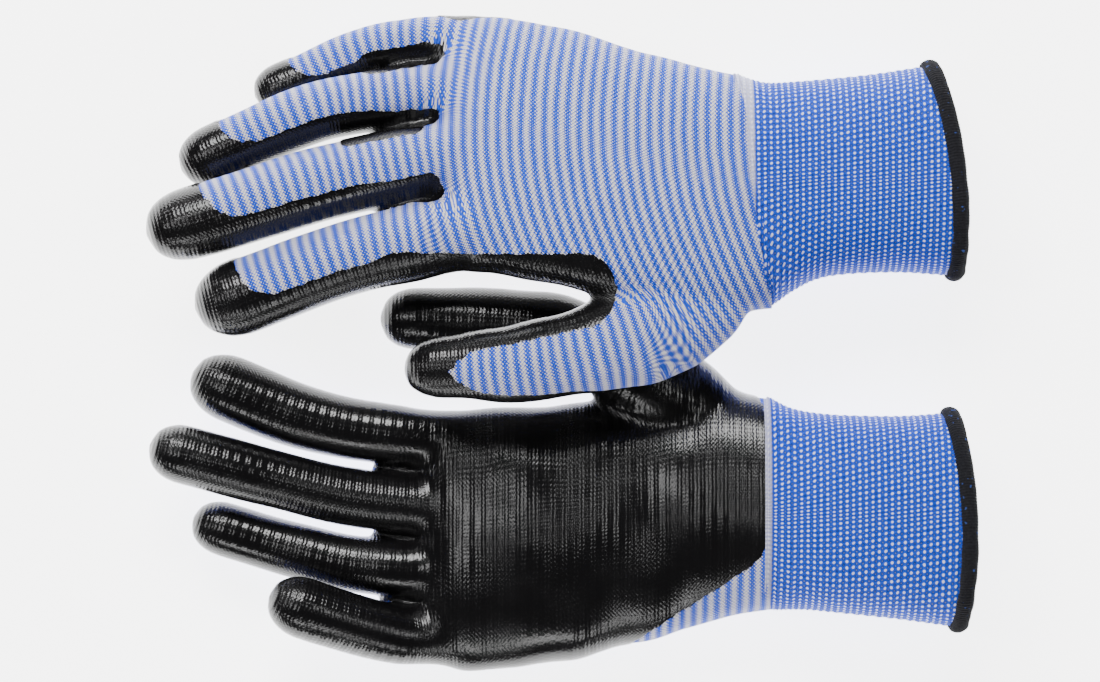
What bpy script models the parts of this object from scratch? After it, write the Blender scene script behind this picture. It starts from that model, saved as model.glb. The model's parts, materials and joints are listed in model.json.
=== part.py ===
"""A pair of palm-dipped knitted work gloves, both for the right hand.

The lower glove lies on its back with the palm up. The upper glove lies back up across the lower
thumb, rolled onto its little-finger edge. Each glove is a hollow knitted hand, five stalls that bend
at the root and in the middle, a rubber skin on the palm side, a rib cuff and an overlocked hem.
Lengths are in millimetres until MM turns them into metres. +Z is up and the fingers point to -X.
"""

import math

import bmesh
import bpy
from mathutils import Matrix, Vector

MM = 0.001
LINER_WALL = 1.2
COAT_GAP = 0.3
COAT_WALL = 0.7
CUFF_WALL = 1.6
HEM_WALL = 2.4
JOINT_GAP = 0.3
COAT_OUT = COAT_GAP + COAT_WALL
PAIR_CENTRE = (1.94, 0.088)
OVAL_POWER = 2.3
PALM_SIDES = 16
DIGIT_SIDES = 10
WINDOW_HALF_ANGLE = math.radians(75)
THROUGH = 6.0
START_INSIDE = 2.0
THUMB_FLATNESS = 0.85
CURVE_SAMPLES = 12
TIP_DOME_DEGREES = (40, 80)
STALL_RINGS = 2
THUMB_ROOT_RINGS = 5
CUT_REACH = 150
CUT_HALF_WIDTH = 90
CUT_DEPTH = 60
DIGIT_NAMES = ("index", "middle", "ring", "little", "thumb")

KNIT_BLUE = (0.27, 0.42, 0.80)
CUFF_BLUE = (0.10, 0.24, 0.72)
HEM_BLACK = (0.02, 0.02, 0.025)
COAT_BLACK = (0.012, 0.012, 0.013)

# A palm station is x, y, z of its middle, half width, half height, roll and yaw in degrees.
# A stall station is x, y, z of its middle and half its width. Stations run from the wrist outwards.
UPPER = {
    "name": "upper",
    "dorsal": 1,
    "floor": None,
    "palm": [
        (60.6, 45.0, 27.5, 35.5, 20.0, 10, 8),
        (45, 44.8, 31.0, 39.0, 17.5, 16, 5),
        (30, 48.0, 33.5, 40.5, 16.0, 20, 2),
        (14, 52.5, 33.0, 41.5, 15.0, 22, 0),
        (-4, 57.0, 31.0, 41.0, 14.5, 21, 0),
        (-22, 59.2, 27.5, 40.5, 12.5, 19, 0),
        (-34, 58.6, 24.5, 39.0, 10.5, 17, 0),
    ],
    "thumb_root": [(54, 20, 34, 9), (45, 9, 38.5, 12.5), (32, 3.2, 42.5, 15), (18, -0.9, 44.5, 14.2)],
    "roll": 17,
    "stalls": {
        "index": [(-22, 33.5, 37, 10.8), (-33, 31, 36.5, 10.8), (-53.4, 26.7, 36, 11),
                  (-70.2, 21.5, 35.5, 11), (-92, 13.3, 34.5, 11), (-105.7, 9.4, 34, 11)],
        "middle": [(-22, 56, 28, 10.8), (-33.9, 54.9, 28.5, 10.8), (-59.7, 49.2, 30, 11),
                   (-75.6, 45, 32, 11), (-104, 36, 35.6, 10.6), (-120, 31.5, 35.6, 10.6)],
        "ring": [(-22, 75.5, 20, 9), (-33.9, 74.7, 20.4, 9), (-59.7, 71.3, 21.6, 9),
                 (-75.6, 67.2, 23, 8.9), (-98, 57.4, 23, 8.7), (-110.9, 51.3, 22.6, 8.7)],
        "little": [(-22, 91, 13.4, 7.5), (-33.9, 91.2, 12.4, 7.5), (-48, 89.5, 10.6, 7.6),
                   (-62, 85.5, 9.4, 7.5), (-76, 79.2, 8.6, 7.2), (-89.6, 74.2, 8.4, 7.2)],
        "thumb": [(8, -3.4, 44.8, 12.6), (-4, -5.6, 44.2, 11.4), (-18, -7.2, 43, 10.2),
                  (-32, -8.2, 41.5, 9.2), (-43.8, -8.4, 40.5, 9.2)],
    },
    "roots": {"index": -52, "middle": -45, "ring": -45, "little": -43, "thumb": -2},
    "middles": {"index": -76, "middle": -76, "ring": -73, "little": -64, "thumb": -20},
    "coat_plane": ((0, 55, 33.5), 20),
    "coat_windows": [((25, 2, 62), (66, 18, 26))],
    "coat_wrist": 56,
    "cuff": [(61.2, 45.3, 27.5, 35.2, 20.0, 10, 8), (69, 46.4, 24.4, 31.5, 21.0, 6, 8),
             (80, 48.8, 22.2, 29.6, 21.8, 4, 8), (100, 50.4, 21.8, 30.0, 22.0, 2, 7.5),
             (115.6, 51.1, 22.0, 31.4, 22.2, 0, 7)],
    "hem": [(116.0, 51.1, 23.0, 32.6, 23.2, 0, 7), (120.0, 51.3, 23.0, 33.4, 23.6, 0, 7)],
}
LOWER = {
    "name": "lower",
    "dorsal": -1,
    "floor": 0.0,
    "palm": [
        (66, -49, 17.0, 32.0, 19.0, 0, 0),
        (52, -49.5, 15.5, 34.5, 17.5, 0, 0),
        (37, -52.5, 14.0, 36.0, 16.0, 0, 0),
        (21, -55.0, 13.6, 37.4, 15.5, 0, 0),
        (5, -57.3, 13.4, 38.6, 15.0, 0, 0),
        (-12, -59.7, 13.0, 39.0, 14.2, 0, 0),
        (-27, -60.2, 12.4, 39.0, 13.0, 0, 0),
        (-39, -59.5, 11.6, 38.0, 11.0, 0, 0),
    ],
    "thumb_root": [(56, -30, 16, 10), (42, -19, 16.4, 13), (27, -10.5, 17, 13.5),
                   (16, -3.4, 17.8, 12)],
    "roll": 0,
    "stalls": {
        "index": [(-28, -29.5, 12.4, 8.7), (-39.6, -29.1, 12.4, 8.7), (-61.2, -26.3, 12.6, 9),
                  (-77.7, -22.2, 13, 9.6), (-96, -14.8, 13.6, 9.8), (-108.2, -9.6, 14, 9.8)],
        "middle": [(-28, -49.4, 12.4, 8.7), (-39.6, -49.4, 12.8, 8.7), (-59.7, -47.2, 15, 8.5),
                   (-75.6, -43.5, 17.8, 8.4), (-106, -35.2, 22, 8.4), (-120.2, -31.5, 23.4, 8.4)],
        "ring": [(-28, -69.4, 12.2, 8.5), (-39.6, -69.2, 12.2, 8.5), (-59.7, -67.4, 12, 8.2),
                 (-75.6, -63.8, 11.6, 8.0), (-95, -58.2, 11.6, 7.8), (-108.2, -53.8, 12, 7.8)],
        "little": [(-26, -89, 11.4, 8.6), (-36, -89.4, 12.6, 8.6), (-49.2, -88, 16, 8.6),
                   (-67.2, -82.7, 22, 8.8), (-84, -76.2, 26, 8.8)],
        "thumb": [(6, 3.2, 18.2, 10), (-11.4, 5.8, 18.4, 9.4), (-36, 6.6, 18, 9.2),
                  (-51.2, 6.6, 17.6, 9.2)],
    },
    "roots": {"index": -51, "middle": -51, "ring": -51, "little": -47, "thumb": -4},
    "middles": {"index": -78, "middle": -80, "ring": -78, "little": -66, "thumb": -25},
    "coat_plane": ((0, -60, 9.0), 0),
    "coat_windows": [],
    "coat_wrist": 64,
    "cuff": [(66.6, -49, 17.8, 31.8, 19.6, 0, 0), (74, -50.7, 19.6, 30.2, 20.6, 0, 0),
             (86, -51.9, 21.4, 29.8, 21.6, 0, 0), (105, -53.1, 22.4, 30.6, 22.2, 0, 1),
             (119.4, -53.6, 22.6, 31.8, 22.4, 0, 2)],
    "hem": [(119.8, -53.7, 23.4, 33.0, 23.2, 0, 2), (123.8, -53.8, 23.8, 33.6, 23.6, 0, 2)],
}


def clear_scene():
    for obj in list(bpy.data.objects):
        bpy.data.objects.remove(obj, do_unlink=True)


def new_collection(name):
    collection = bpy.data.collections.new(name)
    bpy.context.scene.collection.children.link(collection)
    return collection


def principled(name, colour, roughness):
    material = bpy.data.materials.new(name)
    material.use_nodes = True
    shader = material.node_tree.nodes["Principled BSDF"]
    shader.inputs["Base Color"].default_value = (*colour, 1)
    shader.inputs["Roughness"].default_value = roughness
    shader.inputs["Metallic"].default_value = 0
    return material


# ---- sections --------------------------------------------------------------------------------


class Section:
    """One oval slice: its middle, the directions along its width and height, and half of each."""

    def __init__(self, middle, across, up, half_width, half_height):
        self.middle = middle
        self.across = across
        self.up = up
        self.half_width = half_width
        self.half_height = half_height

    def ahead(self):
        """The direction from the wrist to the fingertips."""
        return self.across.cross(self.up).normalized()

    def moved(self, distance):
        shifted = self.middle + self.ahead() * distance
        return Section(shifted, self.across, self.up, self.half_width, self.half_height)

    def points(self, sides, grow, power, floor):
        """The slice's outline, the first point half a step from the end of its width."""
        outline = []
        for step in range(sides):
            angle = 2 * math.pi * (step + 0.5) / sides
            cos, sin = math.cos(angle), math.sin(angle)
            wide = math.copysign(abs(cos) ** (2 / power), cos) * (self.half_width + grow)
            high = math.copysign(abs(sin) ** (2 / power), sin) * (self.half_height + grow)
            point = self.middle + self.across * wide + self.up * high
            if floor is not None:
                point.z = max(point.z, floor - grow)
            outline.append(point)
        return outline


def palm_section(station):
    x, y, z, half_width, half_height, roll, yaw = station
    turn = Matrix.Rotation(math.radians(yaw), 3, "Z") @ Matrix.Rotation(-math.radians(roll), 3, "X")
    return Section(Vector((x, y, z)), turn @ Vector((0, -1, 0)), turn @ Vector((0, 0, 1)),
                   half_width, half_height)


def curve_through(points):
    """A smooth run of 4-vectors (place and half width) through the stations."""
    ends = [2 * points[0] - points[1]] + points + [2 * points[-1] - points[-2]]
    run = []
    for a, b, c, d in zip(ends, ends[1:], ends[2:], ends[3:]):
        for step in range(CURVE_SAMPLES):
            t = step / CURVE_SAMPLES
            run.append(0.5 * (2 * b + (c - a) * t + (2 * a - 5 * b + 4 * c - d) * t * t
                              + (3 * b - a - 3 * c + d) * t ** 3))
    return run + [points[-1]]


class Run:
    """A round tube's middle line through its stations, and its width along it."""

    def __init__(self, stations, roll):
        self.points = curve_through([Vector(station) for station in stations])
        self.roll = math.radians(roll)
        self.lengths = [0.0]
        for a, b in zip(self.points, self.points[1:]):
            self.lengths.append(self.lengths[-1] + (b.xyz - a.xyz).length)

    def steps(self):
        """Each short piece of the line: its two ends, and the lengths at them."""
        return zip(self.points, self.points[1:], self.lengths, self.lengths[1:])

    def length_at_x(self, x):
        for a, b, start, end in self.steps():
            if b.x <= x <= a.x:
                return start + (end - start) * (a.x - x) / (a.x - b.x)
        raise ValueError(f"the line has no point at x = {x}")

    def place(self, length):
        """Middle and half width at this length along the line."""
        for a, b, start, end in self.steps():
            if length <= end:
                return a.lerp(b, (length - start) / (end - start))
        return self.points[-1]

    def section(self, length):
        here = self.place(length)
        ahead = (self.place(length + 1).xyz - self.place(length - 1).xyz).normalized()
        up = Vector((0, math.sin(self.roll), math.cos(self.roll)))
        across = up.cross(ahead).normalized()
        return Section(here.xyz, across, ahead.cross(across), here.w, here.w)

    def tube(self, start, end, rings):
        return [self.section(start + (end - start) * step / rings) for step in range(rings + 1)]


class Stall(Run):
    """One finger or thumb, and the places of its two joints along it."""

    def __init__(self, glove, digit):
        super().__init__(glove["stalls"][digit], glove["roll"])
        self.dorsal = glove["dorsal"]
        self.root = self.length_at_x(glove["roots"][digit])
        self.middle = self.length_at_x(glove["middles"][digit])

    def hinge(self, length):
        """Middle of the hinge line, on the palm side of the skin. The line runs across the stall."""
        section = self.section(length)
        palm_side = section.up * -self.dorsal
        return section.middle + palm_side * (section.half_height + COAT_OUT)

    def tip(self, start, grow):
        """Sections from start to the rounded tip. The last is nearly a point."""
        dome_start = self.lengths[-1] - self.points[-1].w
        radius = self.points[-1].w + grow
        straight = self.tube(start, dome_start, STALL_RINGS)
        dome = []
        for degrees in TIP_DOME_DEGREES:
            section = self.section(dome_start).moved(radius * math.sin(math.radians(degrees)))
            shrink = radius * math.cos(math.radians(degrees)) - grow
            section.half_width = section.half_height = shrink
            dome.append(section)
        return straight + dome


# ---- solids ----------------------------------------------------------------------------------


def mesh_object(name, bm, collection, material=None):
    bmesh.ops.recalc_face_normals(bm, faces=bm.faces)
    bmesh.ops.scale(bm, vec=(MM, MM, MM), verts=bm.verts)
    mesh = bpy.data.meshes.new(name)
    bm.to_mesh(mesh)
    bm.free()
    mesh.shade_smooth()
    obj = bpy.data.objects.new(name, mesh)
    collection.objects.link(obj)
    if material:
        mesh.materials.append(material)
    return obj


def loft(sections, sides, grow=0.0, power=2.0, floor=None, caps="both"):
    """A skin through the sections. Caps is both, end or none."""
    bm = bmesh.new()
    shift = Vector((-PAIR_CENTRE[0], -PAIR_CENTRE[1], 0))
    rings = [[bm.verts.new(point + shift) for point in section.points(sides, grow, power, floor)]
             for section in sections]
    for ring, following in zip(rings, rings[1:]):
        for step in range(sides):
            after = (step + 1) % sides
            bm.faces.new((ring[step], ring[after], following[after]))
            bm.faces.new((ring[step], following[after], following[step]))
    if caps == "both":
        bm.faces.new(rings[0][::-1])
    if caps in ("both", "end"):
        bm.faces.new(rings[-1])
    return bm


def hidden_solid(name, bm, cutters):
    obj = mesh_object(name, bm, cutters)
    obj.hide_render = True
    obj.display_type = "WIRE"


def add_solidify(obj, thickness, outwards):
    modifier = obj.modifiers.new("wall", "SOLIDIFY")
    modifier.thickness = thickness * MM
    modifier.offset = 1 if outwards else -1
    modifier.use_even_offset = True


def add_boolean(obj, operation, collection):
    modifier = obj.modifiers.new(operation.lower(), "BOOLEAN")
    modifier.operation = operation
    modifier.operand_type = "COLLECTION"
    modifier.collection = collection
    modifier.solver = "EXACT"


def set_parent(obj, empty):
    obj.parent = empty
    obj.matrix_parent_inverse = empty.matrix_world.inverted()


def joint_empty(name, place, parts, parent=None):
    empty = bpy.data.objects.new(name, None)
    empty.location = (place - Vector((*PAIR_CENTRE, 0))) * MM
    parts.objects.link(empty)
    bpy.context.view_layer.update()
    if parent:
        set_parent(empty, parent)
        bpy.context.view_layer.update()
    return empty


class Hand:
    """The lofts that a hand is cut from: the palm, the root of the thumb and the five short stubs."""

    def __init__(self, glove, stalls):
        self.glove = glove
        self.palm = [palm_section(station) for station in glove["palm"]]
        self.thumb_root = Run(glove["thumb_root"] + glove["stalls"]["thumb"], glove["roll"])
        self.thumb_end = self.thumb_root.length_at_x(glove["roots"]["thumb"])
        self.stalls = stalls

    def lofts(self, grow, out):
        """Closed lofts grown by some distance, and run out past the wrist and each root joint."""
        palm = list(self.palm)
        if grow < 0:
            palm[-1] = palm[-1].moved(grow)
        if grow > 0:
            palm.append(palm[-1].moved(grow))
        if out:
            palm.insert(0, palm[0].moved(-out))
        yield "palm", loft(palm, PALM_SIDES, grow, OVAL_POWER, self.glove["floor"])
        thumb = self.thumb_root.tube(START_INSIDE, self.thumb_end - JOINT_GAP / 2, THUMB_ROOT_RINGS)
        for section in thumb:
            section.half_height *= THUMB_FLATNESS
        thumb[-1] = self.stalls["thumb"].section(self.stalls["thumb"].root - JOINT_GAP / 2)
        stubs = {"thumb": thumb}
        for digit, stall in self.stalls.items():
            if digit != "thumb":
                stubs[digit] = stall.tube(START_INSIDE, stall.root - JOINT_GAP / 2, STALL_RINGS)
        for digit, sections in stubs.items():
            sections[0] = sections[0].moved(-grow)
            if out:
                sections.append(sections[-1].moved(out))
            yield digit, loft(sections, DIGIT_SIDES, grow)


def hand_solid(node, hand, grow, inner, material, parts, cutters, more_cutters=()):
    """The grown hand with its inner lofts taken out, open at the wrist and at the five root joints."""
    joined = new_child(cutters, node + "_joined")
    taken = new_child(cutters, node + "_taken")
    solid = None
    for name, bm in hand.lofts(grow, 0):
        if name == "palm":
            solid = mesh_object(node, bm, parts, material)
        else:
            hidden_solid(f"{node}_{name}_grown", bm, joined)
    for name, bm in hand.lofts(inner, THROUGH):
        hidden_solid(f"{node}_{name}_hollow", bm, taken)
    for name, bm in more_cutters:
        hidden_solid(f"{node}_{name}", bm, taken)
    add_boolean(solid, "UNION", joined)
    add_boolean(solid, "DIFFERENCE", taken)
    return solid


def new_child(parent, name):
    collection = bpy.data.collections.new(name)
    parent.children.link(collection)
    return collection


def block(low, high, roll=0.0, pivot=(0, 0, 0)):
    """A cutting block between two corners, rolled about a line along X through the pivot."""
    bm = bmesh.new()
    bmesh.ops.create_cube(bm, size=1)
    bmesh.ops.scale(bm, vec=high - low, verts=bm.verts)
    bmesh.ops.translate(bm, vec=(low + high) / 2, verts=bm.verts)
    bmesh.ops.rotate(bm, cent=pivot, matrix=Matrix.Rotation(-math.radians(roll), 3, "X"), verts=bm.verts)
    bmesh.ops.translate(bm, vec=(-PAIR_CENTRE[0], -PAIR_CENTRE[1], 0), verts=bm.verts)
    return bm


def coat_cutters(glove):
    """Blocks that take the skin off the back of the hand and off the wrist."""
    pivot, roll = glove["coat_plane"]
    x, y, z = pivot
    lowest = z if glove["dorsal"] > 0 else z - CUT_DEPTH
    low = Vector((-CUT_REACH, y - CUT_HALF_WIDTH, lowest))
    high = Vector((CUT_REACH, y + CUT_HALF_WIDTH, lowest + CUT_DEPTH))
    yield "back", block(low, high, roll, pivot)
    low = Vector((glove["coat_wrist"], -CUT_REACH, -CUT_DEPTH))
    yield "wrist", block(low, low + Vector((CUT_DEPTH, 2 * CUT_REACH, 3 * CUT_DEPTH)))
    for count, (middle, size) in enumerate(glove["coat_windows"]):
        middle, size = Vector(middle), Vector(size)
        yield f"window_{count}", block(middle - size / 2, middle + size / 2)


def open_back(bm, stall, rings):
    """Takes the back of the stall off its skin, along this many rings of faces."""
    bm.faces.ensure_lookup_table()
    doomed = []
    for number, face in enumerate(bm.faces):
        ring, step = divmod(number // 2, DIGIT_SIDES)
        if ring >= rings:
            continue
        angle = 2 * math.pi * (step + 1) / DIGIT_SIDES
        back = math.pi / 2 * stall.dorsal
        away = math.remainder(angle - back, 2 * math.pi)
        if abs(away) < WINDOW_HALF_ANGLE:
            doomed.append(face)
    bmesh.ops.delete(bm, geom=doomed, context="FACES")


def stall_parts(glove, digit, stall, materials, parts, hand_empty):
    """Liner and skin of a stall's two moving lengths, under an empty on each joint."""
    name = f"{glove['name']}_{digit}"
    start, end = stall.root + JOINT_GAP / 2, stall.middle - JOINT_GAP / 2
    base = stall.tube(start, end, STALL_RINGS)
    root_empty = joint_empty(f"{name}_root_joint", stall.hinge(stall.root), parts, hand_empty)
    middle_empty = joint_empty(f"{name}_middle_joint", stall.hinge(stall.middle), parts, root_empty)
    tip_start = stall.middle + JOINT_GAP / 2
    made = []
    liner = mesh_object(f"{name}_base_liner", loft(base, DIGIT_SIDES, caps="none"), parts, materials["knit"])
    made.append((liner, root_empty, LINER_WALL, False))
    bm = loft(base, DIGIT_SIDES, COAT_GAP, caps="none")
    open_back(bm, stall, len(base))
    skin = mesh_object(f"{name}_base_coating", bm, parts, materials["coat"])
    made.append((skin, root_empty, COAT_WALL, True))
    bm = loft(stall.tip(tip_start, 0), DIGIT_SIDES, caps="end")
    liner = mesh_object(f"{name}_tip_liner", bm, parts, materials["knit"])
    made.append((liner, middle_empty, LINER_WALL, False))
    bm = loft(stall.tip(tip_start, COAT_GAP), DIGIT_SIDES, COAT_GAP, caps="end")
    open_back(bm, stall, STALL_RINGS)
    skin = mesh_object(f"{name}_tip_coating", bm, parts, materials["coat"])
    made.append((skin, middle_empty, COAT_WALL, True))
    for obj, empty, wall, outwards in made:
        add_solidify(obj, wall, outwards)
        set_parent(obj, empty)


def glove_parts(glove, materials, parts, cutters):
    name = glove["name"]
    stalls = {digit: Stall(glove, digit) for digit in DIGIT_NAMES}
    hand = Hand(glove, stalls)
    empty = joint_empty(f"{name}_glove", hand.palm[0].middle, parts)
    pieces = [
        hand_solid(f"{name}_hand_liner", hand, 0, -LINER_WALL, materials["knit"], parts, cutters),
        hand_solid(f"{name}_hand_coating", hand, COAT_OUT, COAT_GAP, materials["coat"], parts, cutters,
                   coat_cutters(glove)),
    ]
    for piece, material, wall in (("cuff", "cuff", CUFF_WALL), ("hem", "hem", HEM_WALL)):
        sections = [palm_section(station) for station in glove[piece]]
        bm = loft(sections, PALM_SIDES, power=OVAL_POWER, floor=0.0, caps="none")
        obj = mesh_object(f"{name}_{piece}", bm, parts, materials[material])
        add_solidify(obj, wall, False)
        pieces.append(obj)
    for obj in pieces:
        set_parent(obj, empty)
    for digit, stall in stalls.items():
        stall_parts(glove, digit, stall, materials, parts, empty)


def main():
    clear_scene()
    parts = new_collection("work_gloves")
    cutters = new_collection("cutters")
    materials = {
        "knit": principled("knit", KNIT_BLUE, 0.9),
        "cuff": principled("rib_knit", CUFF_BLUE, 0.9),
        "hem": principled("overlock_thread", HEM_BLACK, 0.85),
        "coat": principled("rubber_skin", COAT_BLACK, 0.25),
    }
    for glove in (LOWER, UPPER):
        glove_parts(glove, materials, parts, cutters)


if __name__ == "__main__":
    main()
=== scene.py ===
"""Looks for a pair of palm-dipped knitted work gloves, both for the right hand.

The lower glove lies on its back with the palm up. The upper glove lies back up, rolled onto its
little-finger edge. Each glove's skin is one blended surface, cut into a hand, five bases and five
tips that share their edges. A rubber skin lies over the knitting on the palm side and round the
fingertips. Lengths are in millimetres until the meshes are finished.
"""

import json
import math

import bmesh
import bpy
import numpy as np
from mathutils import Matrix, Vector, noise

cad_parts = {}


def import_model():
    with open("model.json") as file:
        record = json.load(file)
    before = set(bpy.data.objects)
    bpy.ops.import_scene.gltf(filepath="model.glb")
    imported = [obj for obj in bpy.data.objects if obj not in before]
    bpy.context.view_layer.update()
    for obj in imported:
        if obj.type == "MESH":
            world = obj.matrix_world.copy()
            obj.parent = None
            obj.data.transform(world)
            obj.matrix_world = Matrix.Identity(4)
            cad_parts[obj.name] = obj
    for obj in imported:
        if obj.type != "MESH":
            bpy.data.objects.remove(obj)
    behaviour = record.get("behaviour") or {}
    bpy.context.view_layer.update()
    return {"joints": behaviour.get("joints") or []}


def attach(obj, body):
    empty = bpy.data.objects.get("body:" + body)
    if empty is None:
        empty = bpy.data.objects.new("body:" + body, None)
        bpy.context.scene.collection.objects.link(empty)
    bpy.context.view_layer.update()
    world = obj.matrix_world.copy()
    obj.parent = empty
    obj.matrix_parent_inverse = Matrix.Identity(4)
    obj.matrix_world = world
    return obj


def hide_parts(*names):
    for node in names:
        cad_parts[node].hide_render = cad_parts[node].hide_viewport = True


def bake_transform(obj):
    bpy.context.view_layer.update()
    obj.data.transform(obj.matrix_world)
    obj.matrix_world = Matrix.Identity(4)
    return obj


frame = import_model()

MM = 0.001
PAIR_CENTRE = np.array((1.94, 0.088, 0.0))
DIGITS = ("index", "middle", "ring", "little", "thumb")

# shape of a hand
OVAL_POWER = 2.3
PALM_DOME = 12  # length over which the palm's far end rounds off
TIP_LENGTH = 1.35  # length of a stall's round tip against its radius
TIP_POWER = 2.2
THUMB_FLAT = 0.15  # how much flatter than wide the thumb's root is
VOXEL = 0.95
SMOOTHING = 90
FOLD_HEIGHT = 1.1
DENT_HEIGHT = 0.5
LOWEST = 0.6  # the skin keeps this far above the floor

# coating
THUMB_FIELD_X = 30  # the thumb's own knitting and coating start here
ROOT_TURN = 22  # degrees by which a finger's coating edge turns down at its root
ROOT_TURN_LENGTH = 26
LEAF = 14  # rounding of the bare patch's far end
EDGE_WAVES = 0.55
LINER_WALL = 1.0
COAT_RISE = 0.45
COAT_SINK = 0.4
COAT_WALL = 0.35
COAT_OVERLAP = 2.0  # the coating's piece reaches this far past its edge, under the knitting

# bends
CREASE_SPAN = 9.0
THUMB_CREASE_SPAN = 7.0
CUT_MARGIN = 1.0

# knitting
STRIPE = 3.45
COURSE = STRIPE / 6
WALE = 1.17
COAT_RIDGE = STRIPE / 3
COAT_DOT = 1.2
COAT_ZIGZAG = 1.5
CUFF_ROW = 1.9
CUFF_DASH = 1.6
CUFF_WALL = 1.3
CUFF_RIDGE = 0.16
HEM_LENGTH = 2.5  # half the hem's roll along the glove
HEM_DEPTH = 1.75  # half the hem's roll across the cuff's wall
THREAD_PITCH = 0.85
THREAD_RIDGE = 0.13
MOUTH_BULGE = 3.2
MOUTH_INSET = 1.4

# A palm or cuff station is x, y, z of its middle, half width, half height, roll and yaw in degrees.
# A stall station is x, y, z of its middle and half its width. Palms and stalls run from the wrist
# outwards, cuffs from the hand to the mouth. A web is a round-ended band of coating seen from above:
# its two ends and its radius. A web ball is x, y, z and a radius. A wrist edge is a place on the
# coating's edge and the direction out of it.
UPPER = {
    "name": "upper",
    "palm": [
        (75, 45.6, 24.0, 34, 21, 10, 8), (60.6, 45.0, 27.5, 35.5, 20.0, 10, 8),
        (45, 44.8, 31.0, 39.0, 17.5, 16, 5), (30, 48.0, 33.5, 40.5, 16.0, 20, 2),
        (14, 52.5, 33.0, 41.5, 15.0, 22, 0), (-4, 57.0, 31.0, 41.0, 14.5, 21, 0),
        (-22, 59.2, 27.5, 40.5, 12.5, 19, 0), (-34, 58.6, 24.5, 39.0, 10.5, 17, 0),
    ],
    "stalls": {
        "index": [(-22, 33.5, 37, 10.8), (-33, 31, 36.5, 10.8), (-53.4, 26.7, 36, 11),
                  (-70.2, 21.5, 35.5, 11), (-92, 13.3, 34.5, 11), (-105.7, 9.4, 34, 11)],
        "middle": [(-22, 56, 28, 10.8), (-33.9, 54.9, 28.5, 10.8), (-59.7, 49.2, 30, 11),
                   (-75.6, 45, 32, 11), (-104, 36, 35.6, 10.6), (-120, 31.5, 35.6, 10.6)],
        "ring": [(-22, 75.5, 20, 9), (-33.9, 74.7, 20.4, 9), (-59.7, 71.3, 21.6, 9),
                 (-75.6, 67.2, 23, 8.9), (-98, 57.4, 23, 8.7), (-110.9, 51.3, 22.6, 8.7)],
        "little": [(-22, 91, 13.4, 7.5), (-33.9, 91.2, 12.4, 7.5), (-48, 89.5, 10.6, 7.6),
                   (-62, 85.5, 9.4, 7.5), (-76, 79.2, 8.6, 7.2), (-89.6, 74.2, 8.4, 7.2)],
        "thumb": [(54, 20, 34, 9), (45, 9, 38.5, 12.5), (32, 3.2, 42.5, 15), (18, -0.9, 44.5, 14.2),
                  (8, -3.4, 44.8, 12.6), (-4, -5.6, 44.2, 11.4), (-18, -7.2, 43, 10.2),
                  (-32, -8.2, 41.5, 9.2), (-43.8, -8.4, 40.5, 9.2)],
    },
    "crotches": {"index": -33, "middle": -36, "ring": -36, "little": -33, "thumb": 8},
    "web_balls": [(-43, 41.5, 27.5, 6.0), (-43, 63.5, 20.5, 6.0), (-42, 82.5, 13, 5.0)],
    "thumb_bulge": (32, 3, 22, 15),
    "stripe_bow": (63, 190, 300),
    # The knitting shows on a stall between two directions, in degrees from straight up towards +Y.
    "finger_bare": (-19.5, 130),
    "thumb_bare": [(54, -130, 175), (34, -110, 150), (20, -92, 90), (8, -76, 42), (-5, -62, 33),
                   (-30, -48, 31), (-44, -48, 31)],
    "bare_tips": {"index": 16, "middle": 18.5, "ring": 15.5, "little": 12.5, "thumb": 13.5},
    "palm_plane": ((0, 55, 32.5), (0, math.sin(math.radians(20)), math.cos(math.radians(20))), -1),
    "wrist_edges": [((56, 0), (1, 0))],
    "webs": [((8.4, 14.7), (-45, 15.3), 10.5), ((8.4, 14.7), (-20, 9.5), 10.5),
             ((-37.8, 86.6), (-54, 83.6), 3.3), ((-40.8, 65.4), (-60, 61.5), 3.3),
             ((-36.3, 46.2), (-58, 41.0), 3.5)],
    "cuff": [(59.8, 45.2, 27.8, 35.2, 19.8, 10, 8), (61.2, 45.3, 27.5, 35.2, 20.0, 10, 8),
             (69, 46.4, 24.4, 31.5, 21.0, 6, 8), (80, 48.8, 22.2, 29.6, 21.8, 4, 8),
             (100, 50.4, 21.8, 30.0, 22.0, 2, 7.5), (117.5, 51.2, 22.0, 31.6, 22.4, 0, 7)],
}
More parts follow.
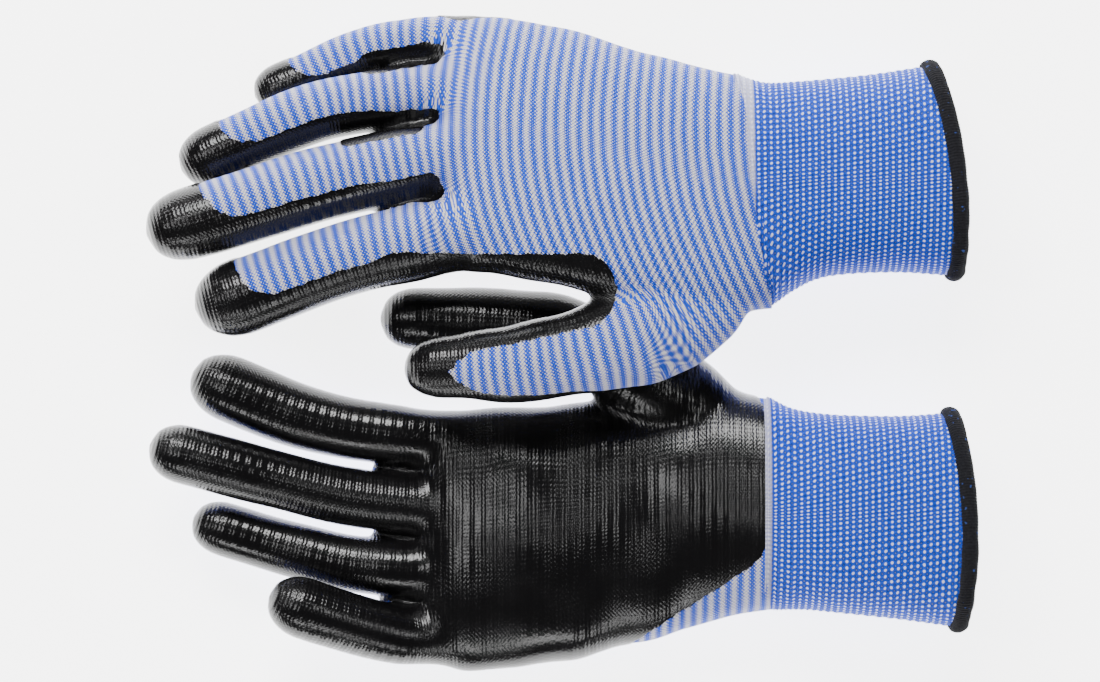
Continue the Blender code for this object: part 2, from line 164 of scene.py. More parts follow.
LOWER = {
    "name": "lower",
    "palm": [
        (80, -49, 17.5, 30, 20, 0, 0), (66, -49, 17.0, 32.0, 19.0, 0, 0),
        (52, -49.5, 15.5, 34.5, 17.5, 0, 0), (37, -52.5, 14.0, 36.0, 16.0, 0, 0),
        (21, -55.0, 13.6, 37.4, 15.5, 0, 0), (5, -57.3, 13.4, 38.6, 15.0, 0, 0),
        (-12, -59.7, 13.0, 39.0, 14.2, 0, 0), (-27, -60.2, 12.4, 39.0, 13.0, 0, 0),
        (-39, -59.5, 11.6, 38.0, 11.0, 0, 0),
    ],
    "stalls": {
        "index": [(-28, -29.5, 12.4, 8.7), (-39.6, -29.1, 12.4, 8.7), (-61.2, -26.3, 12.6, 9),
                  (-77.7, -22.2, 13, 9.6), (-96, -14.8, 13.6, 9.8), (-108.2, -9.6, 14, 9.8)],
        "middle": [(-28, -49.4, 12.4, 8.7), (-39.6, -49.4, 12.8, 8.7), (-59.7, -47.2, 15, 8.5),
                   (-75.6, -43.5, 17.8, 8.4), (-106, -35.2, 22, 8.5), (-120.2, -31.5, 23.4, 8.5)],
        "ring": [(-28, -69.4, 12.2, 8.5), (-39.6, -69.2, 12.2, 8.5), (-59.7, -67.4, 12, 8.2),
                 (-75.6, -63.8, 11.6, 8.0), (-95, -58.2, 11.6, 7.8), (-108.2, -53.8, 12, 7.8)],
        "little": [(-26, -89, 11.4, 8.6), (-36, -89.4, 12.6, 8.6), (-49.2, -88, 16, 8.6),
                   (-67.2, -82.7, 22, 8.8), (-84, -76.2, 26, 8.8)],
        "thumb": [(56, -30, 16, 10), (42, -19, 16.4, 13), (27, -10.5, 17, 13.5),
                  (16, -3.4, 17.8, 12), (6, 3.2, 18.2, 10), (-11.4, 5.8, 18.4, 9.4), (-36, 6.6, 18, 9.2),
                  (-51.2, 6.6, 17.6, 9.2)],
    },
    "crotches": {"index": -38, "middle": -38, "ring": -38, "little": -36, "thumb": 6},
    "web_balls": [(-45, -39.3, 8.5, 5.5), (-45, -59.3, 8.5, 5.5), (-43, -79.4, 8.5, 5.5)],
    "thumb_bulge": (36, -17, 26, 17),
    "stripe_bow": (-60, 1e6, 1e6),
    "finger_bare": (-105, 105),
    "palm_plane": ((0, -60, 9.0), (0, 0, 1), 1),
    "wrist_edges": [((64.6, 0), (1, 0)), ((62, -65.7), (0.56, -0.83)), ((64.5, -17.7), (0.77, 0.64))],
    "webs": [],
    "cuff": [(65.2, -49, 17.6, 31.6, 18.9, 0, 0), (66.6, -49, 17.8, 31.8, 19.6, 0, 0),
             (74, -50.7, 19.6, 30.2, 20.6, 0, 0), (86, -51.9, 21.4, 29.8, 21.6, 0, 0),
             (105, -53.1, 22.4, 30.6, 22.2, 0, 1), (121, -53.7, 22.8, 32, 22.6, 0, 2)],
}


def smooth(value, low=0.0, high=1.0):
    """0 below low, 1 above high, and an even curve between them."""
    t = np.clip((value - low) / (high - low), 0, 1)
    return t * t * (3 - 2 * t)


def curve_through(stations, samples=12):
    """A smooth run through the stations, each a row of numbers."""
    points = np.array(stations, float)
    ends = np.vstack([2 * points[0] - points[1], points, 2 * points[-1] - points[-2]])
    t = np.arange(samples)[:, None] / samples
    run = [0.5 * (2 * b + (c - a) * t + (2 * a - 5 * b + 4 * c - d) * t ** 2
                  + (3 * b - a - 3 * c + d) * t ** 3)
           for a, b, c, d in zip(ends, ends[1:], ends[2:], ends[3:])]
    return np.vstack(run + [points[-1:]])


def unit(vectors):
    return vectors / np.linalg.norm(vectors, axis=-1, keepdims=True)


# ---- the shape of a hand ---------------------------------------------------------------------


class Spine:
    """The middle line of a round stall, with the directions ahead, up and to the side along it."""

    def __init__(self, stations):
        run = curve_through(stations)
        self.middle = run[:, :3]
        self.radius = run[:, 3]
        gaps = np.linalg.norm(np.diff(self.middle, axis=0), axis=1)
        self.length = np.concatenate([[0], np.cumsum(gaps)])
        self.ahead = unit(np.gradient(self.middle, axis=0))
        self.side = unit(np.cross(self.ahead, (0, 0, 1)))
        self.up = np.cross(self.side, self.ahead)

    def at_x(self, x):
        """Length along the line where it reaches this x."""
        return float(np.interp(-x, -self.middle[:, 0], self.length))

    def at(self, length, rows):
        """A value known at every row, at a length in between."""
        return np.array([np.interp(length, self.length, column) for column in rows.T])

    def follow(self, points):
        """For each point: length along the line, side and up offsets, and distance off its skin."""
        nearest = np.empty(len(points), int)
        best = np.full(len(points), np.inf)
        for number, (middle, radius) in enumerate(zip(self.middle, self.radius)):
            away = np.linalg.norm(points - middle, axis=1) - radius
            closer = away < best
            nearest[closer] = number
            best[closer] = away[closer]
        offset = points - self.middle[nearest]
        along = self.length[nearest] + (offset * self.ahead[nearest]).sum(1)
        side = (offset * self.side[nearest]).sum(1)
        up = (offset * self.up[nearest]).sum(1)
        return along, side, up, best


def oval(angle, half_width, half_height):
    """A point on a squared-off oval."""
    cos, sin = math.cos(angle), math.sin(angle)
    return (math.copysign(abs(cos) ** (2 / OVAL_POWER), cos) * half_width,
            math.copysign(abs(sin) ** (2 / OVAL_POWER), sin) * half_height)


def palm_frame(roll, yaw):
    """Side and up directions of a palm section."""
    turn = Matrix.Rotation(math.radians(yaw), 3, "Z") @ Matrix.Rotation(-math.radians(roll), 3, "X")
    return np.array(turn @ Vector((0, 1, 0))), np.array(turn @ Vector((0, 0, 1)))


def mapped_grid(columns, rows, place):
    """A grid rolled up into a tube. place says where a vertex goes, from its shares of both sides."""
    bm = bmesh.new()
    bmesh.ops.create_grid(bm, x_segments=columns, y_segments=rows, size=1)
    for vertex in bm.verts:
        vertex.co = Vector(place((vertex.co.x + 1) / 2, (vertex.co.y + 1) / 2))
    bmesh.ops.remove_doubles(bm, verts=bm.verts, dist=1e-4)
    return bm


def closed_up(bm):
    """Closes a tube's two ends."""
    bmesh.ops.holes_fill(bm, edges=bm.edges, sides=0)
    bmesh.ops.recalc_face_normals(bm, faces=bm.faces)
    return bm


def blend_rows(run, share):
    """The run's row at a share of its length, in between its stations."""
    where = share * (len(run) - 1)
    return np.array([np.interp(where, range(len(run)), column) for column in run.T])


def palm_loft(glove):
    """The palm as one closed tube."""
    run = curve_through(glove["palm"], 6)
    floor = 0.0 if glove["name"] == "lower" else -100.0
    round_from = run[-1, 0] + PALM_DOME

    def place(across, along):
        station = blend_rows(run, along)
        share = max(0.0, (round_from - station[0]) / PALM_DOME)
        lost = station[4] * (1 - math.sqrt(max(0.0, 1 - share * share)))
        side, up = palm_frame(station[5], station[6])
        wide, high = oval(2 * math.pi * across, station[3] - lost, station[4] - lost * 0.97)
        point = station[:3] + side * wide + up * high
        point[2] = max(point[2], floor)
        return point

    return closed_up(mapped_grid(64, 3 * len(run), place))


def stall_loft(spine, wide_root):
    """A stall as one closed tube with a long round tip, flatter up to the length wide_root."""
    dome = spine.radius[-1] * TIP_LENGTH
    end = spine.length[-1] - dome

    def place(around, along):
        angle = 2 * math.pi * around
        length = along * spine.length[-1]
        share = max(0.0, length - end) / dome
        width = spine.at(length, spine.radius[:, None])[0] * math.sqrt(max(0.0, 1 - share ** TIP_POWER))
        flat = 1 - THUMB_FLAT * (1 - smooth(length, wide_root, wide_root + 15))
        return (spine.at(length, spine.middle) + spine.at(length, spine.side) * width * math.cos(angle)
                + spine.at(length, spine.up) * width * flat * math.sin(angle))

    return closed_up(mapped_grid(36, 50, place))


def read_vectors(items, name):
    values = np.empty(len(items) * 3)
    items.foreach_get(name, values)
    return values.reshape(-1, 3)


def evaluated(obj):
    """The object's mesh with its modifiers applied."""
    graph = bpy.context.evaluated_depsgraph_get()
    return bpy.data.meshes.new_from_object(obj.evaluated_get(graph), depsgraph=graph)


def linked(name, mesh):
    obj = bpy.data.objects.new(name, mesh)
    bpy.context.scene.collection.objects.link(obj)
    return obj


def web_ball(place, radius):
    """A long ball that fills the fork between two stalls on its palm side."""
    bm = bmesh.new()
    shape = Matrix.Translation(place) @ Matrix.Diagonal((radius * 1.7, radius, radius * 0.9, 1))
    bmesh.ops.create_uvsphere(bm, u_segments=24, v_segments=12, radius=1, matrix=shape)
    return bm


def relax_weights(glove, points):
    """How much of the smoothing each point gets: most between the stalls and round the thumb's root."""
    x, y = points[:, 0], points[:, 1]
    knuckles = np.exp(-(((x - glove["crotches"]["middle"] - 3) / 9) ** 2))
    middle_x, middle_y, long, wide = glove["thumb_bulge"]
    bulge = np.exp(-(((x - middle_x) / long) ** 2 + ((y - middle_y) / wide) ** 2))
    return np.clip(0.12 + knuckles + bulge, 0, 1)


def blended_hand(glove, spines):
    """One smooth skin round the palm, the thumb's root and the five stalls, open at the wrist."""
    whole = bpy.data.meshes.new("forms")
    bm = bmesh.new()
    lofts = [palm_loft(glove)]
    for digit, spine in spines.items():
        wide_root = spine.at_x(glove["crotches"][digit]) if digit == "thumb" else -50
        lofts.append(stall_loft(spine, wide_root))
    lofts += [web_ball(ball[:3], ball[3]) for ball in glove["web_balls"]]
    for part in lofts:
        part.to_mesh(whole)
        part.free()
        bm.from_mesh(whole)
    bm.to_mesh(whole)
    bm.free()
    obj = linked("forms", whole)
    remesh = obj.modifiers.new("blend", "REMESH")
    remesh.mode = "VOXEL"
    remesh.voxel_size = VOXEL
    obj.data = evaluated(obj)
    obj.modifiers.clear()
    points = read_vectors(obj.data.vertices, "co")
    group = obj.vertex_groups.new(name="relax")
    for number, weight in enumerate(relax_weights(glove, points)):
        group.add([number], float(weight), "REPLACE")
    relax = obj.modifiers.new("relax", "SMOOTH")
    relax.factor = 0.5
    relax.iterations = SMOOTHING
    relax.vertex_group = "relax"
    mesh = evaluated(obj)
    bpy.data.objects.remove(obj)
    bm = bmesh.new()
    bm.from_mesh(mesh)
    station = glove["cuff"][1]
    side, up = palm_frame(station[5], station[6])
    bmesh.ops.bisect_plane(bm, geom=bm.verts[:] + bm.edges[:] + bm.faces[:], dist=1e-4,
                           plane_co=station[:3], plane_no=np.cross(side, up), clear_outer=True)
    for vertex in bm.verts:
        x, y, z = vertex.co
        fold = noise.noise(Vector((x * 0.075 + y * 0.012, y * 0.022, z * 0.02)))
        calm = 0.25 + 0.75 * float(smooth(x, -55, -30))
        dent = noise.noise(vertex.co * 0.05)
        vertex.co += vertex.normal * (fold * FOLD_HEIGHT + dent * DENT_HEIGHT) * calm
        vertex.co.z = max(vertex.co.z, LOWEST)
    bm.normal_update()
    bm.to_mesh(mesh)
    bm.free()
    return mesh


def arc_table(half_width, half_height):
    """Angle round an oval against distance along it, from its +side end over the top."""
    angles = np.linspace(0, math.pi, 91)
    points = np.array([oval(angle, half_width, half_height) for angle in angles])
    steps = np.linalg.norm(np.diff(points, axis=0), axis=1)
    return angles, np.concatenate([[0], np.cumsum(steps)])


def palm_fit(glove, points):
    """For each point: side and up offsets in the palm's nearest section, its sizes, and distance off it."""
    run = curve_through(glove["palm"], 6)
    order = np.argsort(run[:, 0])
    keys = run[order, 0]
    fitted = np.array([np.interp(points[:, 0], keys, run[order, k]) for k in range(1, 6)]).T
    roll = np.radians(fitted[:, 4])
    y, z = points[:, 1] - fitted[:, 0], points[:, 2] - fitted[:, 1]
    side = y * np.cos(roll) - z * np.sin(roll)
    up = y * np.sin(roll) + z * np.cos(roll)
    share = (np.abs(side / fitted[:, 2]) ** OVAL_POWER + np.abs(up / fitted[:, 3]) ** OVAL_POWER)
    away = (share ** (1 / OVAL_POWER) - 1) * fitted[:, 3]
    away = away + np.maximum(0, keys[0] - points[:, 0])
    return side, up, fitted[:, 2], fitted[:, 3], away


def soft_max(a, b, width):
    """The larger of two, with the corner between them rounded off."""
    return np.maximum(a, b) + np.maximum(width - np.abs(a - b), 0) ** 2 / (4 * width)


def capsule(points, start, end, radius):
    """How far each point lies inside a round-ended band, seen from above."""
    start, end = np.array(start), np.array(end)
    run = end - start
    share = np.clip(((points[:, :2] - start) @ run) / (run @ run), 0, 1)
    return radius - np.linalg.norm(points[:, :2] - start - share[:, None] * run, axis=1)


def stripe_course(glove, x, y):
    """The knitting's courses run across the hand and bow towards the fingers."""
    middle, near, far = glove["stripe_bow"]
    return -x + np.where(y < middle, (middle - y) ** 2 / near, (y - middle) ** 2 / far)


class Fields:
    """What the skin is at each point: which stall, how far along, knitting lines and coating."""

    def __init__(self, glove, spines, points):
        side, up, wide, high, off_palm = palm_fit(glove, points)
        angles, arc = arc_table(39, 15)
        self.wale = np.interp(np.abs(np.arctan2(up / high, side / wide)), angles, arc)
        self.course = stripe_course(glove, points[:, 0], points[:, 1])
        pivot, normal, sign = glove["palm_plane"]
        self.coat = ((points - pivot) @ np.array(normal)) * sign
        self.along = np.zeros(len(points))
        self.digit = np.zeros(len(points), int)
        off_stall = np.full(len(points), np.inf)
        for number, (digit, spine) in enumerate(spines.items()):
            along, side, up, away = spine.follow(points)
            mine = away < off_stall
            off_stall[mine] = away[mine]
            self.digit[mine] = number
            self.along[mine] = along[mine]
            radius = np.interp(along, spine.length, spine.radius)
            start = spine.at_x(THUMB_FIELD_X if digit == "thumb" else glove["crotches"][digit])
            root = spine.at(start, spine.middle)
            clear = smooth(off_palm - away, -3, 3)
            weight = smooth(along, start - 8, start + 8) * clear
            root_side = np.interp(root[1] - glove["palm"][-2][1], [-39, 39], [arc[-1], 0])
            wale = root_side + radius * (np.abs(np.arctan2(up, side)) - math.pi / 2)
            course = along - start + stripe_course(glove, root[0], root[1])
            coat = self.stall_coat(glove, digit, spine, along, np.degrees(np.arctan2(side, up)), radius)
            coat_weight = clear if digit == "thumb" else weight
            for name, value, share in (("wale", wale, weight), ("course", course, weight),
                                       ("coat", coat, coat_weight)):
                old = getattr(self, name)
                old[mine] = (old + (value - old) * share)[mine]
        self.on_stall = off_stall < off_palm
        for start, end, radius in glove["webs"]:
            self.coat = soft_max(self.coat, capsule(points, start, end, radius), 2.0)
        for place, out in glove["wrist_edges"]:
            edge = -((points[:, :2] - place) @ np.array(out))
            self.coat = -soft_max(-self.coat, -edge, 6.0)
        waves = [noise.noise(Vector(point * 0.9)) + 0.7 * noise.noise(Vector(point * 0.35))
                 for point in points]
        self.coat += EDGE_WAVES * np.array(waves)

    @staticmethod
    def stall_coat(glove, digit, spine, along, angle, radius):
        """Millimetres inside the coating's edge on a stall."""
        if glove["name"] == "lower":
            return np.radians(glove["finger_bare"][1] - np.abs(angle)) * radius
        low, high = glove["finger_bare"]
        if digit == "thumb":
            x = spine.at(along, spine.middle)[0]
            table = np.array(glove["thumb_bare"][::-1], float)
            low, high = (np.interp(x, table[:, 0], table[:, k]) for k in (1, 2))
        else:
            start = spine.at_x(glove["crotches"][digit])
            low = low - ROOT_TURN * (1 - smooth(along, start, start + ROOT_TURN_LENGTH))
        edge = np.radians(np.maximum(low - angle, angle - high)) * radius
        return soft_max(edge, along - (spine.length[-1] - glove["bare_tips"][digit]), LEAF)


# ---- pieces ----------------------------------------------------------------------------------


def to_world(mesh):
    mesh.transform(Matrix.Scale(MM, 4) @ Matrix.Translation(Vector(-PAIR_CENTRE)))


def world(point):
    return Vector((point - PAIR_CENTRE) * MM)


def read_numbers(mesh, name):
    values = np.empty(len(mesh.vertices))
    mesh.attributes[name].data.foreach_get("value", values)
    return values


def piece_mesh(name, skin, keep, raised):
    """Part of the skin, with its normals and fields kept so that neighbours meet with no seam."""
    bm = bmesh.new()
    bm.from_mesh(skin)
    bm.faces.ensure_lookup_table()
    bmesh.ops.delete(bm, geom=[face for face in bm.faces if not keep[face.index]], context="FACES")
    mesh = bpy.data.meshes.new(name)
    bm.to_mesh(mesh)
    bm.free()
    if raised:
        normals = read_vectors(mesh.attributes["skin_normal"].data, "vector")
        points = read_vectors(mesh.vertices, "co") + normals * read_numbers(mesh, "rise")[:, None]
        mesh.vertices.foreach_set("co", points.ravel())
    return mesh


def thickened(obj, thickness):
    """Gives the object's surface a wall on its inner side, for good."""
    wall = obj.modifiers.new("wall", "SOLIDIFY")
    wall.thickness = thickness
    wall.offset = -1
    made = evaluated(obj)
    obj.modifiers.clear()
    obj.data = made
    made.name = obj.name
    return made


def walled(name, mesh, thickness, material):
    """A closed shell of the mesh, its wall turned inwards, shaded as part of the whole skin."""
    obj = linked(name, mesh)
    made = thickened(obj, thickness)
    bpy.data.meshes.remove(mesh)
    made.name = name
    made.shade_smooth()
    own = read_vectors(made.vertices, "normal")
    whole = read_vectors(made.attributes["skin_normal"].data, "vector")
    whole[(own * whole).sum(1) < 0] *= -1
    made.normals_split_custom_set_from_vertices(whole.tolist())
    for attribute in ("skin_normal", "rise"):
        made.attributes.remove(made.attributes[attribute])
    made.materials.clear()
    made.materials.append(material)
    to_world(made)
    return obj


def add_field(mesh, name, values, kind="FLOAT"):
    attribute = mesh.attributes.new(name, kind, "POINT")
    attribute.data.foreach_set("vector" if kind == "FLOAT_VECTOR" else "value",
                               np.asarray(values, np.float32).ravel())


def read_indices(items, name):
    values = np.empty(len(items), int)
    items.foreach_get(name, values)
    return values


def divide(name, spines, fields):
    """Each vertex's region, 0 for the hand, then base and tip of each stall, and the bends' ends."""
    hinges = {joint["name"]: joint for joint in frame["joints"]}
    region = np.zeros(len(fields.coat), int)
    bends = {}
    for number, (digit, spine) in enumerate(spines.items()):
        span = THUMB_CREASE_SPAN if digit == "thumb" else CREASE_SPAN
        for rank, where in enumerate(("root", "middle")):
            pivot = hinges[f"{name}_{digit}_{where}_bend"]["pos_m"]
            length = spine.at_x(pivot[0] / MM + PAIR_CENTRE[0])
            beyond = fields.on_stall & (fields.digit == number)
            beyond &= fields.along > length - span - CUT_MARGIN
            region[beyond] = 1 + 2 * number + rank
            bends[digit, where] = [world(spine.at(end, spine.middle))
                                   for end in (length - span, length + span)]
    return region, bends


def glove_skin(glove, materials):
    """The knitted liner and the coating of a glove, in eleven pieces each."""
    name = glove["name"]
    spines = {digit: Spine(glove["stalls"][digit]) for digit in DIGITS}
    skin = blended_hand(glove, spines)
    normals = read_vectors(skin.vertices, "normal")
    fields = Fields(glove, spines, read_vectors(skin.vertices, "co"))
    rise = -COAT_SINK + (COAT_RISE + COAT_SINK) * smooth(fields.coat, -1.2, 0.9)
    add_field(skin, "skin_normal", normals, "FLOAT_VECTOR")
    add_field(skin, "rise", rise)
    for attribute in ("course", "wale", "coat"):
        add_field(skin, attribute, getattr(fields, attribute))
    region, bends = divide(name, spines, fields)
    corners = read_indices(skin.loops, "vertex_index")
    starts = read_indices(skin.polygons, "loop_start")
    face_region = np.minimum.reduceat(region[corners], starts)
    face_coated = np.maximum.reduceat(fields.coat[corners], starts) > -COAT_OVERLAP
    for number in range(1 + 2 * len(DIGITS)):
        digit = DIGITS[(number - 1) // 2]
        part = "hand" if number == 0 else f"{digit}_{'base' if number % 2 else 'tip'}"
        here = face_region == number
        for layer, ending, slot, wall, shown in (
                ("liner", "knit", "knit_liner", LINER_WALL, here),
                ("coating", "dip", "rubber_coating", COAT_WALL, here & face_coated)):
            node = f"{name}_{part}_{layer}"
            mesh = piece_mesh(node, skin, shown, layer == "coating")
            obj = walled(f"{node}_{ending}", mesh, wall, materials[layer])
            settle(obj, name, number)
            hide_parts(node)
    bpy.data.meshes.remove(skin)


def settle(obj, name, number):
    """A hand piece rides on its glove. A stall's piece has its place baked into its mesh."""
    if number == 0:
        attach(obj, f"{name}_glove")
    elif number % 2:
        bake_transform(obj)
    else:
        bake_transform(obj)


def cuff_section(run, share):
    """The cuff's station at a share of its length, with its side and up directions."""
    station = blend_rows(run, share)
    side, up = palm_frame(station[5], station[6])
    return station, side, up


def mouth_bulge(wide, half_width):
    """How far the mouth's edge stands out along the glove, more in the middle than at its ends."""
    return MOUTH_BULGE * (1 - (wide / half_width) ** 2) - MOUTH_INSET


def tube_object(name, columns, rows, place):
    bm = mapped_grid(columns, rows, place)
    bmesh.ops.recalc_face_normals(bm, faces=bm.faces)
    mesh = bpy.data.meshes.new(name)
    bm.to_mesh(mesh)
    bm.free()
    return linked(name, mesh)


def finish_piece(obj, material):
    """Gives a cuff or a hem its material and moves its mesh to its place."""
    mesh = obj.data
    mesh.materials.clear()
    mesh.materials.append(material)
    mesh.shade_smooth()
    to_world(mesh)


def cuff(glove, materials):
    """The elastic rib cuff: a tube with a ridge for every row of knitting."""
    name = glove["name"]
    run = curve_through(glove["cuff"], 10)
    length = float(np.linalg.norm(run[-1, :3] - run[0, :3]))
    ridges = round(length / CUFF_ROW)

    def place(around, along):
        station, side, up = cuff_section(run, along)
        angle = 2 * math.pi * around
        lift = CUFF_RIDGE * math.cos(2 * math.pi * along * ridges) - 0.2 * (1 - min(1, along * 25))
        lift += 0.35 * noise.noise(Vector((along * 4, math.cos(angle) * 1.5, math.sin(angle) * 1.5)))
        wide, high = oval(angle, station[3] + lift, station[4] + lift)
        point = station[:3] + side * wide + up * high
        point += np.cross(side, up) * mouth_bulge(wide, station[3] + 1) * max(0, along * 3 - 2)
        point[2] = max(point[2], 0.1)
        return point

    obj = tube_object(f"{name}_cuff_rib", 220, ridges * 5, place)
    points = read_vectors(obj.data.vertices, "co")
    station = run[len(run) // 2]
    angles, arc = arc_table(station[3], station[4])
    offset = points - station[:3]
    turn = np.abs(np.arctan2(offset[:, 2] / station[4], offset[:, 1] / station[3]))
    add_field(obj.data, "wale", np.interp(turn, angles, arc))
    add_field(obj.data, "course", points[:, 0] - run[0, 0])
    thickened(obj, CUFF_WALL)
    finish_piece(obj, materials["cuff"])
    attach(obj, f"{name}_glove")
    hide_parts(f"{name}_cuff")


def hem(glove, materials):
    """The overlocked edge: a fat roll of thread bound over the cuff's mouth, one ridge to a stitch."""
    name = glove["name"]
    run = curve_through(glove["cuff"], 10)
    station, side, up = cuff_section(run, 1.0)
    ahead = np.cross(side, up)
    turns = np.linspace(0, 2 * math.pi, 721)
    outline = [oval(turn, station[3], station[4]) for turn in turns]
    gaps = np.linalg.norm(np.diff(outline, axis=0), axis=1)
    travel = np.concatenate([[0], np.cumsum(gaps)])
    threads = round(travel[-1] / THREAD_PITCH)

    def place(around, along):
        angle = float(np.interp(around * travel[-1], travel, turns))
        wide, high = oval(angle, station[3], station[4])
        out = unit(side * math.cos(angle) * station[4] + up * math.sin(angle) * station[3])
        roll = 2 * math.pi * along
        slant = 0.5 * math.sin(roll)
        ridge = THREAD_RIDGE * math.cos(2 * math.pi * (around * threads + slant))
        uneven = 0.25 * noise.noise(Vector((math.cos(angle) * 6, math.sin(angle) * 6, 3.1)))
        bulge = mouth_bulge(wide, station[3] + 1) + MOUTH_INSET
        centre = station[:3] + side * wide + up * high + ahead * bulge + out * 0.1
        point = (centre + ahead * math.cos(roll) * (HEM_LENGTH + ridge + uneven)
                 + out * math.sin(roll) * (HEM_DEPTH + ridge + uneven))
        point[2] = max(point[2], 0.05)
        return point

    obj = tube_object(f"{name}_hem_overlock", threads * 4, 18, place)
    finish_piece(obj, materials["hem"])
    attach(obj, f"{name}_glove")
    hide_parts(f"{name}_hem")


# ---- finishes --------------------------------------------------------------------------------


class Wire:
    """A value in a material. Arithmetic on it adds Math nodes."""

    def __init__(self, finish, socket):
        self.finish = finish
        self.socket = socket

    def math(self, operation, *others):
        values = dict(enumerate((self,) + others))
        return self.finish.node("Math", {"operation": operation}, values)

    def __add__(self, other):
        return self.math("ADD", other)

    def __sub__(self, other):
        return self.math("SUBTRACT", other)

    def __mul__(self, other):
        return self.math("MULTIPLY", other)

    def __truediv__(self, other):
        return self.math("DIVIDE", other)

    def __rsub__(self, other):
        return self.finish.node("Math", {"operation": "SUBTRACT"}, {0: other, 1: self})

    __radd__ = __add__
    __rmul__ = __mul__

    def wave(self):
        """1 at whole numbers, -1 half way between them."""
        return (self * (2 * math.pi)).math("COSINE")

    def between(self, low, high):
        """0 below low, 1 above high, smooth between."""
        return self.finish.node("MapRange", {"interpolation_type": "SMOOTHSTEP"},
                                {"Value": self, "From Min": low, "From Max": high})


class Finish:
    """A material being made: a Principled shader and the nodes that feed it."""

    def __init__(self, name, **constants):
        self.material = bpy.data.materials.new(name)
        self.material.use_nodes = True
        self.tree = self.material.node_tree
        self.shader = self.tree.nodes["Principled BSDF"]
        for socket, value in constants.items():
            self.shader.inputs[socket.replace("_", " ")].default_value = value

    def node(self, kind, settings, values, output=0):
        """Adds a node: its settings first, then the values or links of its sockets."""
        made = self.tree.nodes.new("ShaderNode" + kind)
        for name, value in settings.items():
            setattr(made, name, value)
        for key, value in values.items():
            self.put(made.inputs[key], value)
        return Wire(self, made.outputs[output])

    def put(self, socket, value):
        if isinstance(value, Wire):
            self.tree.links.new(value.socket, socket)
        else:
            socket.default_value = value

    def field(self, name):
        return self.node("Attribute", {"attribute_name": name}, {}, "Fac")

    def noise(self, scale, detail):
        place = self.node("TexCoord", {}, {}, "Object")
        return self.node("TexNoise", {}, {"Vector": place, "Scale": scale, "Detail": detail})

    def mix(self, factor, first, second):
        return self.node("Mix", {"data_type": "RGBA"}, {0: factor, 6: first, 7: second}, 2)

    def bump(self, height, distance, strength):
        return self.node("Bump", {}, {"Height": height, "Distance": distance, "Strength": strength})

    def feed(self, **links):
        for socket, value in links.items():
            self.put(self.shader.inputs[socket.replace("_", " ")], value)
        return self.material


def knit_finish():
    """Two-tone knitting: white courses between blue ones that are flecked with white, with painted shade in
    the stitch holes.
    """
    finish = Finish("striped_knit", Roughness=0.9, Sheen_Weight=0.1, Sheen_Roughness=0.5,
                    Specular_IOR_Level=0.15)
    course, wale, coat = (finish.field(name) for name in ("course", "wale", "coat"))
    drift = finish.noise(140, 1) - 0.5
    course = course + drift * 0.5
    row, column = course / COURSE, wale / WALE
    stitch = (column + row * 0.5).wave() * 0.65 + (column - row * 0.5).wave() * 0.35
    gap_shade = (column + row * 0.5 + 0.5).wave() * 0.6 + (row + 0.5).wave() * 0.4
    band = (course / STRIPE).wave()
    grain = finish.noise(1700, 1) - 0.5
    white_share = (band * 0.95 - stitch * 1.25 + grain * 0.7 - 0.12).between(-0.20, 0.30)
    hole_shade = (gap_shade + grain * 0.6).between(0.50, 0.95)
    blue = finish.mix(finish.noise(1100, 2), (0.004, 0.040, 0.42, 1), (0.02, 0.10, 0.75, 1))
    white = finish.mix(grain + 0.5, (0.50, 0.48, 0.49, 1), (0.85, 0.83, 0.84, 1))
    yarn = finish.mix(white_share, blue, white)
    # painted shade: the holes between the stitches are darkened towards navy black; the same mask also
    # sinks them in the bump
    yarn = finish.mix(hole_shade * 0.85, yarn, (0.010, 0.014, 0.04, 1))
    soaked = (coat + stitch * 0.45 + drift).between(-0.35, 0.0)
    colour = finish.mix(soaked, yarn, (0.008, 0.008, 0.009, 1))
    height = stitch * 0.5 - hole_shade * 0.5 + band * 0.3
    return finish.feed(Base_Color=colour, Normal=finish.bump(height, 0.00022, 0.8))


def coat_finish():
    """Black rubber that shows the courses of the knitting under it as fine ridges."""
    finish = Finish("black_rubber", Base_Color=(0.004, 0.0038, 0.0042, 1), Specular_IOR_Level=0.42)
    course, wale = finish.field("course"), finish.field("wale")
    drift = finish.noise(110, 2) - 0.5
    wavy = course + (wale / COAT_ZIGZAG).wave() * 0.08 + drift * 0.45
    ridge = (wavy / COAT_RIDGE).wave()
    dots = (wale / COAT_DOT + drift * 0.3).wave() * 0.5 + 0.5
    band = (wavy / STRIPE).wave()
    fine = finish.noise(2600, 2) - 0.5
    patch = finish.noise(60, 3)
    depth = patch.between(0.30, 0.65) * 0.75 + 0.25
    height = ridge * (dots * 0.55 + 0.45) * depth * 0.6 + band * 0.5 + fine * 0.3
    roughness = patch.between(0.35, 0.7) * 0.10 + 0.17 + fine * 0.08
    return finish.feed(Roughness=roughness, Normal=finish.bump(height, 0.00010, 1.0))


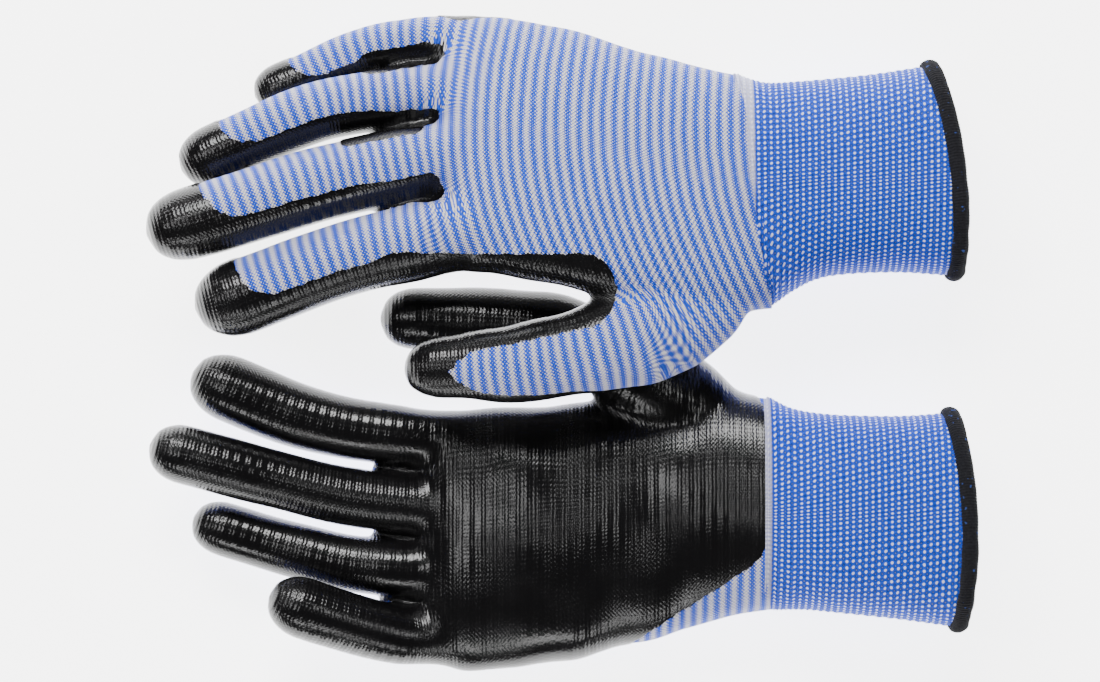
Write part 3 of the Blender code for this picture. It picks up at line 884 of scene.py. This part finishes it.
def cuff_finish():
    """Elastic rib: saturated blue rows with a white dash at every stitch, and painted shade in the gaps
    between the rows.
    """
    finish = Finish("blue_rib", Roughness=0.9, Sheen_Weight=0.1, Sheen_Roughness=0.5,
                    Specular_IOR_Level=0.15)
    course, wale = finish.field("course"), finish.field("wale")
    row = course / CUFF_ROW
    across = wale / CUFF_DASH + row * 0.18
    crest, stitch = row.wave(), across.wave()
    grain = finish.noise(1500, 1) - 0.5
    dash = (crest * 0.95 + stitch * 0.75 + grain * 0.8).between(0.75, 1.15)
    fleck = ((row + 0.5).wave() * 0.9 + (across + 0.5).wave() * 0.6 + grain * 1.2).between(1.0, 1.6)
    gap_shade = (crest * -0.8 - stitch * 0.6 + grain * 0.5).between(0.3, 1.2)
    blue = finish.mix(finish.noise(1300, 2), (0.003, 0.035, 0.40, 1), (0.015, 0.085, 0.72, 1))
    # painted shade: the gaps between the rib's rows are darkened towards navy black
    yarn = finish.mix(gap_shade * 0.85, blue, (0.001, 0.006, 0.08, 1))
    yarn = finish.mix(fleck * 0.4, yarn, (0.25, 0.33, 0.75, 1))
    yarn = finish.mix(dash * 0.95, yarn, (0.70, 0.72, 0.88, 1))
    seam = (1.1 - course).between(0.0, 0.6)
    yarn = finish.mix(seam * 0.6, yarn, (0.75, 0.73, 0.76, 1))
    height = crest * 0.5 + stitch * 0.35 + finish.noise(1800, 2) * 0.4
    return finish.feed(Base_Color=yarn, Normal=finish.bump(height, 0.00022, 0.8))


def hem_finish():
    """Black overlock thread with the odd blue fleck."""
    finish = Finish("black_thread", Roughness=0.85, Sheen_Weight=0.05, Specular_IOR_Level=0.12)
    fleck = finish.noise(700, 1).between(0.70, 0.76)
    base = finish.mix(finish.noise(1500, 2), (0.002, 0.002, 0.003, 1), (0.018, 0.018, 0.022, 1))
    colour = finish.mix(fleck * 0.6, base, (0.04, 0.09, 0.35, 1))
    return finish.feed(Base_Color=colour, Normal=finish.bump(finish.noise(2200, 2), 0.0002, 0.8))


# ---- studio ----------------------------------------------------------------------------------


def floor():
    """A bright white floor that lights the gloves' undersides a little."""
    bpy.ops.mesh.primitive_plane_add(size=6, location=(0, 0, 0))
    obj = bpy.context.object
    obj.name = "floor"
    finish = Finish("white_floor", Base_Color=(0.92, 0.92, 0.92, 1), Roughness=0.9,
                    Emission_Color=(1, 1, 1, 1), Emission_Strength=4.6)
    obj.data.materials.append(finish.material)


def softbox(name, place, target, size, power):
    light = bpy.data.lights.new(name, "AREA")
    light.shape = "RECTANGLE"
    light.size, light.size_y = size
    light.energy = power
    obj = linked(name, light)
    obj.location = place
    obj.rotation_euler = (Vector(target) - Vector(place)).to_track_quat("-Z", "Y").to_euler()


def studio():
    """The floor, a large softbox behind the fingertips' side, three strips and the camera above."""
    floor()
    background = bpy.data.worlds.new("studio")
    background.use_nodes = True
    sockets = background.node_tree.nodes["Background"].inputs
    sockets["Color"].default_value = (1, 1, 1, 1)
    sockets["Strength"].default_value = 0.05
    bpy.context.scene.world = background
    softbox("key", (-0.25, 0.95, 1.0), (0, 0.02, 0), (0.9, 0.5), 31)
    softbox("rim", (-0.1, -1.0, 0.65), (0, -0.03, 0), (1.2, 0.12), 6)
    softbox("left", (-0.75, 0.10, 1.2), (0, 0, 0), (0.22, 0.7), 4.5)
    softbox("right", (0.85, 0.05, 1.1), (0, 0, 0), (0.22, 0.7), 3.5)
    camera = bpy.data.cameras.new("camera")
    camera.lens = 150
    camera.sensor_width = 36
    obj = linked("camera", camera)
    obj.location = (-PAIR_CENTRE[0] * MM, -PAIR_CENTRE[1] * MM, 1.40)
    bpy.context.scene.camera = obj


def main():
    materials = {"liner": knit_finish(), "coating": coat_finish(),
                 "cuff": cuff_finish(), "hem": hem_finish()}
    studio()
    for glove in (LOWER, UPPER):
        glove_skin(glove, materials)
        cuff(glove, materials)
        hem(glove, materials)


main()
